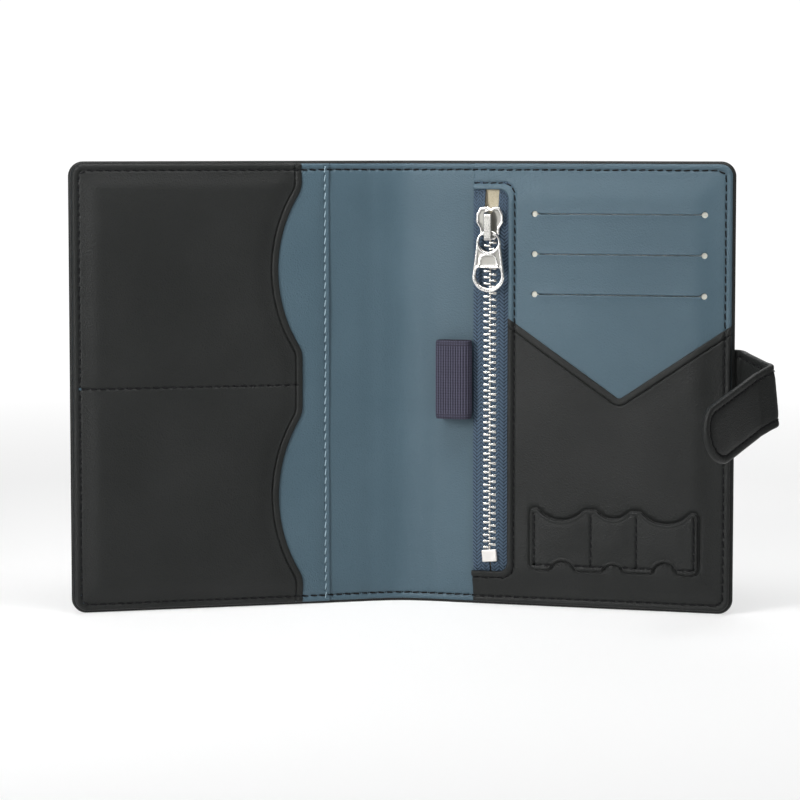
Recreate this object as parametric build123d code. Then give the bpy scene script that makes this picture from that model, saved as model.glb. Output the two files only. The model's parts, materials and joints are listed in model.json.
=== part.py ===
from build123d import *
from math import copysign, cos, radians, sin, tan
import os

# Passport holder that stands open like a book, in millimetres, +Z up. The origin is the middle of the
# spine's bottom edge. The inner faces look towards -Y, and +X points along the back cover.
# A cover is drawn flat first: u runs from its hinge line to the fore-edge, z runs up, and n is the height
# above the outer face of the skin, towards the reader.

# Whole object
HEIGHT = 150.0
COVER_WIDTH = 105.5
SPINE_WIDTH = 17.0
COVER_TURN = 16.0
CORNER_RADIUS = 5.0

# Layers common to the covers and the spine
SKIN = 1.0
HINGE_N = SKIN / 2
RIM_TOP = 3.0
RIM_WIDTH = 1.2
BOARD_TOP = 2.0
HINGE_GAP = 0.8
LINING_GAP = 2.4

# Front cover
FRONT_LINING_TOP = 2.6
DOCUMENT_EDGE = 17.4
DOCUMENT_LOW, DOCUMENT_TOP = 2.7, 3.4
CARD_EDGE = 27.0
CARD_LOW, CARD_TOP = 3.5, 4.3
SCALLOP_DEPTH = 8.3
SCALLOPS = ((141.5, 82.5), (67.5, 8.5))
SCALLOP_BLEND = 8.0
KEEPER_RADIUS = 8.0

# Back cover
SHIELD_TOP = 2.2
BACK_LINING_TOP = 2.7
POCKET_LINING_TOP = 3.0
PANEL_EDGE = 17.2
PANEL_LOW, PANEL_TOP = 4.9, 5.6
V_TOP = 6.4
STRIP_TOP = 7.2
V_TIP = (67.4, 71.0)
V_LEFT, V_RIGHT = 97.6, 96.0
WINDOW_EDGE = 29.3
WINDOW_LOW, WINDOW_HIGH = 11.7, 140.4
WINDOW_RADIUS = 4.0
SLOT_START, SLOT_END = 38.1, 95.1
SLOT_HEIGHTS = (132.4, 119.0, 105.6)
SLOT_WIDTH = 0.4
SLOT_HOLE_RADIUS = 1.0
CARD_LAYER = 0.4
STRIP_START, STRIP_END = 37.5, 94.5
STRIP_LOW, STRIP_HIGH = 13.3, 33.7
STRIP_DIPS = ((40.1, 56.1, 29.9), (60.3, 71.5, 30.9), (75.4, 92.1, 29.7))
STRIP_NOTCHES = ((44.2, 53.2, 16.5), (62.0, 70.0, 15.8), (79.1, 87.8, 17.2))

# Zip
ZIP_U = 23.1
TAPE_LOW, TAPE_TOP = 4.4, 4.9
TAPE_START, TAPE_END = 17.4, 33.0
TAPE_BOTTOM, TAPE_HIGH = 8.0, 145.0
CHAIN_HALF = 2.4
TOOTH_GAP = 0.4
TOOTH_HEIGHT = 1.05
TOOTH_LOW, TOOTH_TOP = 3.95, 5.35
TOOTH_PITCH = 2.12
CHAIN_BOTTOM = 19.8
TEETH = 54
STOP_LOW, STOP_HIGH = 15.0, 19.0
TOP_STOP_LOW, TOP_STOP_HIGH = 141.2, 143.4
SLIDER_LOW_PLATE = (3.3, 3.8)
SLIDER_TOP_PLATE = (5.5, 6.1)
SLIDER_BASE = 125.0
SLIDER_LENGTH = 9.7
SHOULDER_HALF = 4.6
FLANGE = 0.7
POST_HALF = 0.25
PIVOT_N = 7.3
BRIDGE_WIDTH = 2.6
BRIDGE_WALL = 0.7
BRIDGE_INSIDE_N = 8.5
BRIDGE_LOW, BRIDGE_HIGH = 124.0, 133.7
PULL_THICKNESS = 1.0
PULL_TOP, PULL_BOTTOM = 126.9, 106.1
PULL_TOP_RADIUS, PULL_BOTTOM_RADIUS = 4.3, 5.7
UPPER_HOLE, UPPER_HOLE_RADIUS, UPPER_HOLE_FLAT = 123.0, 3.25, 125.1
LOWER_HOLE, LOWER_HOLE_RADIUS, LOWER_HOLE_FLAT = 111.95, 4.35, 114.2
PAD, PAD_RADIUS, PAD_FLAT = 115.3, 3.3, 115.0

# Pen loop
LOOP_START, LOOP_END = 5.0, 16.6
LOOP_LOW, LOOP_HIGH = 63.4, 89.8
LOOP_BASE_N, LOOP_TOP_N = 3.0, 10.0
BAND = 0.8

# Closing strap
STRAP_WIDTH = 19.0
STRAP_Z = 78.5
STRAP_PLY = 1.0
STRAP_PIVOT_U = COVER_WIDTH + 1.4
STRAP_START_U = 84.0
STRAP_BASE = 23.5
STRAP_TIP = 46.0
STRAP_GAP = 1.6
STRAP_HEADING = 67.7
STRAP_DROOP = 9.5
FOLD_SKEW = 21.5
FOLD_TURN = 59.0
TIP_SKIN, TIP_CORE = 1.3, 0.45
MAGNET_RADIUS = 6.0


def area(u0, u1, z0, z1):
    """A rectangle on a cover, between two distances from the hinge line and two heights."""
    return Pos((u0 + u1) / 2, (z0 + z1) / 2) * Rectangle(u1 - u0, z1 - z0)


def cover_area(u0, inset, radius=CORNER_RADIUS):
    """The cover's own outline from u0 to the fore-edge, drawn in by inset, with two round corners."""
    sheet = area(u0, COVER_WIDTH - inset, inset, HEIGHT - inset)
    return fillet(sheet.vertices().group_by(Axis.X)[-1], radius - inset)


def plate(outline, low, high):
    """Thickens an outline between two heights above the outer face."""
    return extrude(Plane.XZ.offset(low - HINGE_N) * outline, high - low)


def on_back(shape):
    """Turns a flat piece of the back cover to where it stands."""
    return Pos(SPINE_WIDTH / 2, 0, 0) * Rot(0, 0, -COVER_TURN) * shape


def on_front(shape):
    """Turns a flat piece to the mirrored place on the front cover."""
    return mirror(on_back(shape), about=Plane.YZ)


def outer_skin():
    """Outer leather of a cover: a flat sheet with its turned edge standing round three sides."""
    sheet = plate(cover_area(HINGE_GAP, 0), 0, SKIN)
    ring = cover_area(LINING_GAP, 0) - cover_area(LINING_GAP, RIM_WIDTH)
    return sheet + plate(ring, SKIN, RIM_TOP)


def board():
    """Stiff board inside a cover."""
    return plate(cover_area(LINING_GAP + 1, RIM_WIDTH + 0.8), SKIN, BOARD_TOP)


def spine_strip(half_width, inset, low, high):
    """One flat layer of the spine."""
    return plate(area(-half_width, half_width, inset, HEIGHT - inset), low, high)


def scallop(top, bottom):
    """One dipped stretch of the card pocket's edge."""
    middle = (top + bottom) / 2
    return ThreePointArc((CARD_EDGE, top), (CARD_EDGE + SCALLOP_DEPTH, middle), (CARD_EDGE, bottom))


def card_pocket():
    """Card pocket of the front cover, whose open edge dips twice."""
    fore, inset = COVER_WIDTH - RIM_WIDTH - 0.1, RIM_WIDTH + 0.1
    upper, lower = SCALLOPS
    path = [
        Line((CARD_EDGE, HEIGHT - inset), (CARD_EDGE, upper[0])),
        scallop(*upper),
        Line((CARD_EDGE, upper[1]), (CARD_EDGE, lower[0])),
        scallop(*lower),
        Line((CARD_EDGE, lower[1]), (CARD_EDGE, inset)),
        Line((CARD_EDGE, inset), (fore, inset)),
        Line((fore, inset), (fore, HEIGHT - inset)),
        Line((fore, HEIGHT - inset), (CARD_EDGE, HEIGHT - inset)),
    ]
    sheet = make_face(path)
    cusps = [v for v in sheet.vertices() if abs(v.X - CARD_EDGE) < 0.01 and inset + 1 < v.Y < HEIGHT - inset - 1]
    sheet = fillet(cusps, SCALLOP_BLEND)
    sheet = fillet(sheet.vertices().group_by(Axis.X)[-1], CORNER_RADIUS - inset)
    return plate(sheet, CARD_LOW, CARD_TOP)


def document_pocket():
    """Full-height pocket under the card pocket, open towards the spine."""
    return plate(cover_area(DOCUMENT_EDGE, RIM_WIDTH + 0.1), DOCUMENT_LOW, DOCUMENT_TOP)


def keeper_place():
    """Centre of the closing magnet's partner in the front cover."""
    return STRAP_PIVOT_U - (STRAP_TIP - STRAP_WIDTH / 2), STRAP_Z


def window():
    """Opening in the back cover's panels over the zip, open on the spine side."""
    hole = area(PANEL_EDGE - 5, WINDOW_EDGE, WINDOW_LOW, WINDOW_HIGH)
    return fillet(hole.vertices().group_by(Axis.X)[-1], WINDOW_RADIUS)


def card_slot(height):
    """A thin slit with a round hole punched at each end."""
    slit = area(SLOT_START, SLOT_END, height - SLOT_WIDTH / 2, height + SLOT_WIDTH / 2)
    holes = [Pos(u, height) * Circle(SLOT_HOLE_RADIUS) for u in (SLOT_START, SLOT_END)]
    return slit + holes[0] + holes[1]


def card_panel():
    """Panel of the back cover with the zip window and three card slots."""
    sheet = cover_area(PANEL_EDGE, RIM_WIDTH + 0.1) - window()
    for height in SLOT_HEIGHTS:
        sheet -= card_slot(height)
    return plate(sheet, PANEL_LOW, PANEL_TOP)


def card_layer(index):
    """Backing layer that a card stands on behind its slot."""
    low = POCKET_LINING_TOP + 0.1 + index * (CARD_LAYER + 0.1)
    top = SLOT_HEIGHTS[index] + 4.5
    return plate(area(TAPE_END + 1.5, 103, top - 58, top), low, low + CARD_LAYER)


def v_pocket():
    """Lower pocket of the back cover, whose open edge is a wide V."""
    inset = RIM_WIDTH + 0.1
    fore = COVER_WIDTH - inset
    shape = make_face(Polyline(
        (PANEL_EDGE, inset), (fore, inset), (fore, V_RIGHT), V_TIP,
        (WINDOW_EDGE, V_LEFT), (PANEL_EDGE, V_LEFT), close=True))
    shape = shape - window()
    corner = shape.vertices().group_by(Axis.Y)[0].sort_by(Axis.X)[-1]
    return plate(fillet(corner, CORNER_RADIUS - inset), PANEL_TOP, V_TOP)


def bite(start, end, edge, level):
    """Disc that cuts into a level edge between two places, as far as another level."""
    half, depth = (end - start) / 2, edge - level
    radius = (half ** 2 + depth ** 2) / (2 * abs(depth))
    return Pos((start + end) / 2, level + copysign(radius, depth)) * Circle(radius)


def pocket_strip():
    """Strip of three small card pockets: dipped along the top, notched along the bottom."""
    sheet = area(STRIP_START, STRIP_END, STRIP_LOW, STRIP_HIGH)
    sheet = fillet(sheet.vertices().group_by(Axis.Y)[0], 3.0)
    for start, end, level in STRIP_DIPS:
        sheet -= bite(start, end, STRIP_HIGH, level)
    for start, end, level in STRIP_NOTCHES:
        sheet -= bite(start, end, STRIP_LOW, level)
    return plate(sheet, V_TOP, STRIP_TOP)


def tooth(height, side):
    """One zip tooth: a wide foot on the tape and a narrower head."""
    foot, head = ZIP_U + side * CHAIN_HALF, ZIP_U + side * TOOTH_GAP
    neck, half = (foot + head) / 2, TOOTH_HEIGHT / 2
    points = [(foot, -half), (neck, -half), (head, -half * 0.6), (head, half * 0.6), (neck, half), (foot, half)]
    outline = make_face(Polyline(*[(u, height + z) for u, z in points], close=True))
    return plate(outline, TOOTH_LOW, TOOTH_TOP)


def teeth(side):
    """All teeth of one tape; the two rows are half a pitch apart."""
    first = CHAIN_BOTTOM + (TOOTH_PITCH / 2 if side > 0 else 0)
    return [tooth(first + index * TOOTH_PITCH, side) for index in range(TEETH)]


def zip_tape(side):
    """Woven tape on one side of the teeth."""
    inner = ZIP_U + side * CHAIN_HALF
    outer = TAPE_END if side > 0 else TAPE_START
    return plate(area(min(inner, outer), max(inner, outer), TAPE_BOTTOM, TAPE_HIGH), TAPE_LOW, TAPE_TOP)


def bottom_stop():
    """Square clip that closes the chain at the bottom."""
    outline = area(ZIP_U - CHAIN_HALF, ZIP_U + CHAIN_HALF, STOP_LOW, STOP_HIGH)
    block = plate(outline, TOOTH_LOW, TOOTH_TOP + 0.05)
    return fillet(block.edges().group_by(Axis.Y)[0], 0.25)


def top_stops():
    """Small clip on the end of each tape, under the panel's upper edge."""
    stops = []
    for side in (-1, 1):
        inner, outer = sorted((ZIP_U + side * 1.2, ZIP_U + side * CHAIN_HALF))
        stops.append(plate(area(inner, outer, TOP_STOP_LOW, TOP_STOP_HIGH), TOOTH_LOW, PANEL_LOW - 0.1))
    return stops


def slider_outline():
    """Top view of the slider: waist, two shoulders and a notch between them."""
    right = [(3.3, 0), (3.4, 2.4), (SHOULDER_HALF, 6.0), (3.5, SLIDER_LENGTH - 0.3), (1.5, SLIDER_LENGTH)]
    notch = [(0, SLIDER_LENGTH - 0.9)]
    left = [(-u, z) for u, z in reversed(right)]
    outline = make_face(Polyline(*right, *notch, *left, close=True))
    outline = fillet(outline.vertices(), 0.55)
    return Pos(ZIP_U, SLIDER_BASE) * outline


def slider_body():
    """Two plates joined by a post, with flanges that stop short of the tapes."""
    outline = slider_outline()
    flange = outline - Pos(ZIP_U, SLIDER_BASE + SLIDER_LENGTH / 2) * Rectangle(
        2 * (SHOULDER_HALF - FLANGE), SLIDER_LENGTH + 2)
    tongue = area(ZIP_U - 2.0, ZIP_U + 2.0, BRIDGE_LOW - 0.3, SLIDER_BASE + 1)
    post = area(ZIP_U - POST_HALF, ZIP_U + POST_HALF, SLIDER_BASE + 5.5, SLIDER_BASE + 8.4)
    low = plate(outline, *SLIDER_LOW_PLATE)
    top = plate(outline + tongue, *SLIDER_TOP_PLATE)
    body = low + top + plate(post, SLIDER_LOW_PLATE[0], SLIDER_TOP_PLATE[1])
    body += plate(flange, SLIDER_LOW_PLATE[1], TAPE_LOW - 0.25)
    body += plate(flange, TAPE_TOP + 0.25, SLIDER_TOP_PLATE[0])
    return fillet(body.edges().group_by(Axis.Y)[0], 0.22)


def slider_bridge():
    """Arch over the slider that the pull hangs from."""
    base = SLIDER_TOP_PLATE[1] - HINGE_N
    top = BRIDGE_INSIDE_N + BRIDGE_WALL - HINGE_N
    inside = BRIDGE_INSIDE_N - HINGE_N
    section = Plane.YZ.offset(ZIP_U - BRIDGE_WIDTH / 2)
    arch = make_face(Polyline(
        (-base, BRIDGE_LOW), (-top, BRIDGE_LOW), (-top, BRIDGE_HIGH - 1.5), (-base, BRIDGE_HIGH), close=True))
    hole = make_face(Polyline(
        (-base, BRIDGE_LOW + BRIDGE_WALL), (-inside, BRIDGE_LOW + BRIDGE_WALL),
        (-inside, BRIDGE_HIGH - 3.2), (-base, BRIDGE_HIGH - 2.4), close=True))
    bridge = extrude(section * (arch - hole), BRIDGE_WIDTH)
    return fillet(bridge.edges().group_by(Axis.Y)[0], 0.3)


def pull_tab():
    """Teardrop pull with two D-shaped holes and a shallow arched pad between them."""
    upper = Pos(ZIP_U, PULL_TOP - PULL_TOP_RADIUS) * Circle(PULL_TOP_RADIUS)
    lower = Pos(ZIP_U, PULL_BOTTOM + PULL_BOTTOM_RADIUS) * Circle(PULL_BOTTOM_RADIUS)
    outline = make_hull(upper.edges() + lower.edges())
    upper_hole = Pos(ZIP_U, UPPER_HOLE) * Circle(UPPER_HOLE_RADIUS)
    upper_hole -= area(ZIP_U - 5, ZIP_U + 5, UPPER_HOLE_FLAT, PULL_TOP)
    lower_hole = Pos(ZIP_U, LOWER_HOLE) * Circle(LOWER_HOLE_RADIUS)
    lower_hole -= area(ZIP_U - 5, ZIP_U + 5, LOWER_HOLE_FLAT, PULL_TOP)
    pad = Pos(ZIP_U, PAD) * Circle(PAD_RADIUS) - area(ZIP_U - 5, ZIP_U + 5, PULL_BOTTOM, PAD_FLAT)
    low = PIVOT_N - PULL_THICKNESS / 2
    high = PIVOT_N + PULL_THICKNESS / 2
    tab = plate(outline - upper_hole - lower_hole, low, high)
    tab = fillet(tab.edges().group_by(Axis.Y)[0] + tab.edges().group_by(Axis.Y)[-1], 0.28)
    return tab - plate(pad, high - 0.2, high)


def pen_loop():
    """Elastic band sewn down along one edge and standing open for a pen."""
    middle = ((LOOP_START + LOOP_END) / 2, HINGE_N - (LOOP_BASE_N + LOOP_TOP_N) / 2)
    width, depth = LOOP_END - LOOP_START, LOOP_TOP_N - LOOP_BASE_N
    outside = RectangleRounded(width, depth, depth / 2 - 0.4)
    inside = RectangleRounded(width - 2 * BAND, depth - 2 * BAND, depth / 2 - 0.4 - BAND)
    ring = Pos(*middle) * (outside - inside)
    tail_middle = (LOOP_END - 1.2, HINGE_N - LOOP_BASE_N - BAND / 2)
    tail = Pos(*tail_middle) * Rectangle(4.4, BAND)
    return extrude(Plane.XY.offset(LOOP_LOW) * (ring + tail), LOOP_HIGH - LOOP_LOW)


def strap_root():
    """Sewn end of the strap on the outside of the back cover."""
    low, high = STRAP_Z - STRAP_WIDTH / 2, STRAP_Z + STRAP_WIDTH / 2
    sheet = area(STRAP_START_U, COVER_WIDTH - 0.3, low, high)
    sheet = fillet(sheet.vertices().group_by(Axis.X)[0], 2.0)
    return plate(sheet, -2 * STRAP_PLY, 0)


def strap_plane():
    """Plane of the strap's first stretch: x along the strap, y up, z towards the inner side."""
    heading, droop = radians(STRAP_HEADING), radians(STRAP_DROOP)
    pivot = on_back(Pos(STRAP_PIVOT_U, HINGE_N + STRAP_PLY, STRAP_Z)).position
    along = Vector(cos(heading) * cos(droop), -sin(heading) * cos(droop), -sin(droop))
    inward = Vector(-sin(heading), -cos(heading), 0)
    return Plane(origin=pivot, x_dir=along, z_dir=inward)


def strap_base(low, high):
    """One ply of the strap between its hinge and its fold."""
    half = STRAP_WIDTH / 2
    lean = half * tan(radians(FOLD_SKEW))
    end = STRAP_BASE - STRAP_GAP / cos(radians(FOLD_SKEW))
    outline = make_face(Polyline(
        (STRAP_GAP, -half), (end + lean, -half), (end - lean, half), (STRAP_GAP, half), close=True))
    return strap_plane() * extrude(Plane.XY.offset(low) * outline, high - low)


def folded(shape):
    """Turns a flat piece of the strap's end about the fold and puts it in place."""
    skew = radians(FOLD_SKEW)
    fold = Axis((STRAP_BASE, 0, 0), (-sin(skew), cos(skew), 0))
    return strap_plane() * shape.rotate(fold, -FOLD_TURN)


def strap_tip(low, high):
    """One ply of the strap's round end, past the fold."""
    half = STRAP_WIDTH / 2
    lean = half * tan(radians(FOLD_SKEW))
    start = STRAP_BASE + STRAP_GAP / cos(radians(FOLD_SKEW))
    centre = STRAP_BASE + STRAP_TIP - half
    flap = make_face(Polyline((start + lean, -half), (centre, -half), (centre, half), (start - lean, half), close=True))
    outline = flap + Pos(centre, 0) * Circle(half)
    return folded(extrude(Plane.XY.offset(low) * outline, high - low))


def magnet():
    """Closing magnet between the plies of the strap's end."""
    centre = STRAP_BASE + STRAP_TIP - STRAP_WIDTH / 2
    disc = Pos(centre, 0) * Circle(MAGNET_RADIUS)
    return folded(extrude(Plane.XY.offset(-TIP_CORE) * disc, 2 * TIP_CORE))


keeper_u, keeper_z = keeper_place()
keeper_disc = Pos(keeper_u, keeper_z) * Circle(KEEPER_RADIUS)
keeper = plate(keeper_disc, SKIN + 0.1, BOARD_TOP)
keeper_hole = plate(Pos(keeper_u, keeper_z) * Circle(KEEPER_RADIUS + 0.1), SKIN, BOARD_TOP)
lining_area = cover_area(LINING_GAP, RIM_WIDTH + 0.1)

nodes = {
    "outer_skin_spine": spine_strip(SPINE_WIDTH / 2 - 0.3, 0, 0, SKIN),
    "spine_board": spine_strip(SPINE_WIDTH / 2 - 1.5, 2.2, SKIN, 1.6),
    "lining_spine": spine_strip(SPINE_WIDTH / 2 - 1.1, 0.3, 1.7, 2.2),
    "outer_skin_front": on_front(outer_skin()),
    "front_board": on_front(board() - keeper_hole),
    "closure_keeper": on_front(keeper),
    "lining_front": on_front(plate(lining_area, BOARD_TOP, FRONT_LINING_TOP)),
    "document_pocket": on_front(document_pocket()),
    "card_pocket": on_front(card_pocket()),
    "outer_skin_back": on_back(outer_skin()),
    "back_board": on_back(board()),
    "shield_foil": on_back(plate(area(5, 102, 3.5, HEIGHT - 3.5), BOARD_TOP, SHIELD_TOP)),
    "lining_back": on_back(plate(lining_area, SHIELD_TOP, BACK_LINING_TOP)),
    "zip_pocket_lining": on_back(plate(area(18, 103, 5, 145), BACK_LINING_TOP, POCKET_LINING_TOP)),
    "zip_tape_left": on_back(zip_tape(-1)),
    "zip_tape_right": on_back(zip_tape(1)),
    "zip_teeth_left": [on_back(item) for item in teeth(-1)],
    "zip_teeth_right": [on_back(item) for item in teeth(1)],
    "zip_bottom_stop": on_back(bottom_stop()),
    "zip_top_stops": [on_back(item) for item in top_stops()],
    "card_panel": on_back(card_panel()),
    "card_layer_upper": on_back(card_layer(0)),
    "card_layer_middle": on_back(card_layer(1)),
    "card_layer_lower": on_back(card_layer(2)),
    "v_pocket": on_back(v_pocket()),
    "small_card_strip": on_back(pocket_strip()),
    "pen_loop": on_back(pen_loop()),
    "strap_root": on_back(strap_root()),
    "slider_body": on_back(slider_body()),
    "slider_bridge": on_back(slider_bridge()),
    "pull_tab": on_back(pull_tab()),
    "strap_base_outer": strap_base(-STRAP_PLY, 0),
    "strap_base_lining": strap_base(0, STRAP_PLY),
    "strap_tip_outer": strap_tip(-TIP_SKIN, -TIP_CORE),
    "strap_tip_lining": strap_tip(TIP_CORE, TIP_SKIN),
    "strap_magnet": magnet(),
}

os.makedirs("parts", exist_ok=True)
for name, shape in nodes.items():
    piece = Compound(children=shape) if isinstance(shape, list) else shape
    export_step(piece, os.path.join("parts", name + ".step"))
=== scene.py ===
import json
from math import cos, pi, radians, sin, tan

import bmesh
import bpy
import numpy as np
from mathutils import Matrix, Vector, geometry


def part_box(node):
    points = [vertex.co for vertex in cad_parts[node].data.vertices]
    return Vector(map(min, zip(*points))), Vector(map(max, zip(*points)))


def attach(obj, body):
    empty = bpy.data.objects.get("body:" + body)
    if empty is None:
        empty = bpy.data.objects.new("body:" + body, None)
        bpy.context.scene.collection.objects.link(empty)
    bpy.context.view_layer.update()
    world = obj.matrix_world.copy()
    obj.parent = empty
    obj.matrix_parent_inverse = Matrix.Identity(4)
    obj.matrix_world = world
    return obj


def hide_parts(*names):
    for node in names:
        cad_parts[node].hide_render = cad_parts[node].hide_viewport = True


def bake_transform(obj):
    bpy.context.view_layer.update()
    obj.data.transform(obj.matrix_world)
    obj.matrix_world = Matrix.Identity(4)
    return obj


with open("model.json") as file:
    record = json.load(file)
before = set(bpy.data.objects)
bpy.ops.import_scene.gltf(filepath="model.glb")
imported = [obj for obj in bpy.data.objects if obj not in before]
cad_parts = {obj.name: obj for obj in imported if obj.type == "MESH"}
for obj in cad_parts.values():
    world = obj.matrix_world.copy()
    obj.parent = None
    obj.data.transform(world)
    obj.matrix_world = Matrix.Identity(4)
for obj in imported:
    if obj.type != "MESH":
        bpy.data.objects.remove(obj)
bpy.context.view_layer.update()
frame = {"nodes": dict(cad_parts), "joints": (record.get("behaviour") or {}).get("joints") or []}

# Passport holder, open like a book. Shapes are worked out flat, in millimetres: u from a cover's hinge
# line to its fore-edge, z up, n above the outer face towards the reader. They are then turned to where
# the cover stands.

JOINTS = {joint["name"]: joint for joint in frame["joints"]}
MM = 0.001

# Whole object
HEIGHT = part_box("outer_skin_back")[1][2] / MM
HALF_SPINE = JOINTS["back_hinge"]["pos_m"][0] / MM
TURN = radians(-JOINTS["back_hinge"]["range_deg"][0])
COVER = 105.5
CORNER = 5.0
HINGE_N = 0.5
BEND = 8.0
BOW = 1.3
FRONT, BACK = -1, 1

# Layers
SHELL = 1.9
LINING = 2.4
LINING_END = 19.5
FOUNDATION = 1.6
INSET = 0.9
STITCH_INSET = 3.0
STITCH = 3.0
THREAD = 0.27
BOARD_INSET, BOARD_START, SPINE_BOARD_END = 2.6, 9.0, -3.0
BOARD_LAYER, FOIL_LAYER = (1.0, 1.45), (2.0, 2.1)

# How far from a line a mesh gets its extra rows of points
EDGE_ROWS = (0.07, 0.2, 0.4, 0.7, 1.1)
THIN_SEAM_ROWS = (0, 0.2, 0.4, 0.7)
SEAM_ROWS = (0, 0.25, 0.5, 0.8)
WIDE_SEAM_ROWS = (0, 0.25, 0.5, 0.9)
CREASE_ROWS = (0, 0.1, 0.2, 0.35, 0.6, 0.9)
ROLL_ROWS = (0, 0.4)

# Front cover
DOCUMENT_EDGE = 17.4
HEM = DOCUMENT_EDGE + 1.6
CARD_EDGE = 27.0
SCALLOPS = ((140.6, 86.2), (65.0, 9.6))
SCALLOP_DEPTH = 8.3
CARD_SEAM = 74.9

# Back cover
PANEL_EDGE = 16.8
ZIP_U = 23.1
WINDOW_EDGE = 29.3
WINDOW_LOW, WINDOW_HIGH = 11.7, 140.4
WINDOW_SEAM, WINDOW_STITCH, WINDOW_CORNER = 2.2, 2.75, 3.4
V_TIP = (67.4, 71.0)
V_LEFT, V_RIGHT = 97.6, 96.0
SLOTS = (132.4, 119.0, 105.6)
SLOT_START, SLOT_END = 38.4, 95.6
STRIP_START, STRIP_END = 37.5, 94.5
STRIP_LOW, STRIP_HIGH = 13.3, 33.7
STRIP_WALLS = (39.0, 58.4, 73.8, 93.2)
STRIP_SEAM, STRIP_STITCH = 14.9, 2.7
STRIP_DIPS = ((40.1, 56.1, 29.9), (60.3, 71.5, 30.9), (75.4, 92.1, 29.7))
STRIP_NOTCHES = ((44.2, 53.2, 16.5), (62.0, 70.0, 15.8), (79.1, 87.8, 17.2))

# Zip
TOOTH_PITCH, FIRST_TOOTH, TEETH = 2.12, 19.8, 54
STOP_LOW, STOP_HIGH = 15.0, 19.0
PIVOT_N = 7.3
PULL_TOP, PULL_BOTTOM = 126.9, 106.1
SLIDER_BASE = 125.0
TAPE_COLUMN, TAPE_YARN = 1.6, 1.2


def smooth(x, low, high):
    t = np.clip((x - low) / (high - low), 0, 1)
    return t * t * (3 - 2 * t)


def bell(x, width):
    return np.exp(-((x / width) ** 2))


def ripple(u, z, seed):
    """Slow unevenness of soft leather."""
    return (np.sin(u / 7.3 + seed) * np.sin(z / 11.9 + 1.7 * seed)
            + 0.6 * np.sin(u / 17 - z / 23 + 2.3 * seed)
            + 0.35 * np.sin(u / 4.1 + z / 5.3 + seed))


def nearest(points, line):
    """Distance from each point to a polyline, and how far along it the nearest place is."""
    line = np.asarray(line, float)
    start, step = line[:-1], np.diff(line, axis=0)
    length = np.maximum(np.linalg.norm(step, axis=1), 1e-9)
    before = np.concatenate([[0], np.cumsum(length)[:-1]])
    far, along = np.empty(len(points)), np.empty(len(points))
    for low in range(0, len(points), 4000):
        p = points[low:low + 4000, None, :] - start
        t = np.clip((p * step).sum(2) / length ** 2, 0, 1)
        gap = np.hypot(p[..., 0] - t * step[:, 0], p[..., 1] - t * step[:, 1])
        best = gap.argmin(1)
        rows = np.arange(len(best))
        far[low:low + 4000] = gap[rows, best]
        along[low:low + 4000] = before[best] + t[rows, best] * length[best]
    return far, along


def away(u, z, line):
    """Distance from each place to a polyline."""
    return nearest(np.column_stack([u, z]), line)[0]


def even(line, step):
    """The polyline again with evenly spaced points."""
    line = np.asarray(line, float)
    along = np.concatenate([[0], np.cumsum(np.linalg.norm(np.diff(line, axis=0), axis=1))])
    at = np.linspace(0, along[-1], max(2, round(along[-1] / step) + 1))
    return np.stack([np.interp(at, along, line[:, k]) for k in (0, 1)], axis=1)


def beside(line):
    """Unit vectors to the left of a polyline, at its points."""
    ahead = np.gradient(line, axis=0)
    ahead /= np.maximum(np.linalg.norm(ahead, axis=1, keepdims=True), 1e-9)
    return np.column_stack([-ahead[:, 1], ahead[:, 0]])


def eased(line, reach, step=0.2, closed=True):
    """The polyline with its corners eased over a distance; an open one keeps its ends."""
    line = even(line, step)
    steps = int(3 * reach / step)
    kernel = bell(np.arange(-steps, steps + 1) * step, reach)
    if closed:
        line = line[:-1]
        padded = np.concatenate([line[-steps:], line, line[:steps]])
    else:
        before, after = 2 * line[:1] - line[steps:0:-1], 2 * line[-1:] - line[-2:-steps - 2:-1]
        padded = np.concatenate([before, line, after])
    soft = np.stack([np.convolve(padded[:, k], kernel / kernel.sum(), mode="valid") for k in (0, 1)], axis=1)
    return np.concatenate([soft, soft[:1]]) if closed else soft


def inside(points, loop):
    """Whether each point lies within a closed polyline."""
    hit = np.zeros(len(points), bool)
    x, y = points.T
    for (x0, y0), (x1, y1) in zip(loop[:-1], loop[1:]):
        if y0 != y1:
            hit ^= ((y0 > y) != (y1 > y)) & (x < (x1 - x0) * (y - y0) / (y1 - y0) + x0)
    return hit


def rectangle(start, low, end, high):
    """A closed polyline round a rectangle."""
    return np.array([(start, low), (end, low), (end, high), (start, high), (start, low)])


def arch(start, end, edge, level, count=24):
    """Points of an arc between two places on a straight edge, by way of a middle at another level."""
    half, depth = (end - start) / 2, level - edge
    radius = (half ** 2 + depth ** 2) / (2 * abs(depth))
    angle = np.linspace(-1, 1, count) * np.arcsin(half / radius)
    return np.column_stack([(start + end) / 2 + radius * np.sin(angle),
                            level - np.sign(depth) * radius * (1 - np.cos(angle))])


def rounded(corners, radii, steps=10):
    """A closed polyline through corners, each rounded to its radius by an arc."""
    out = []
    count = len(corners)
    for i in range(count):
        here = np.array(corners[i], float)
        back, ahead = (np.array(corners[(i + k) % count], float) - here for k in (-1, 1))
        back, ahead = back / np.linalg.norm(back), ahead / np.linalg.norm(ahead)
        radius = radii[i] if hasattr(radii, "__len__") else radii
        if not radius:
            out.append(here)
            continue
        half = np.arccos(np.clip(back @ ahead, -1, 1)) / 2
        middle = here + (back + ahead) / np.linalg.norm(back + ahead) * radius / sin(half)
        first, last = here + back * radius / tan(half) - middle, here + ahead * radius / tan(half) - middle
        turn = np.arctan2(first[0] * last[1] - first[1] * last[0], first @ last)
        for a in np.linspace(0, turn, steps):
            x, y = first[0] * cos(a) - first[1] * sin(a), first[0] * sin(a) + first[1] * cos(a)
            out.append(middle + (x, y))
    return np.array(out + out[:1])


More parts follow.
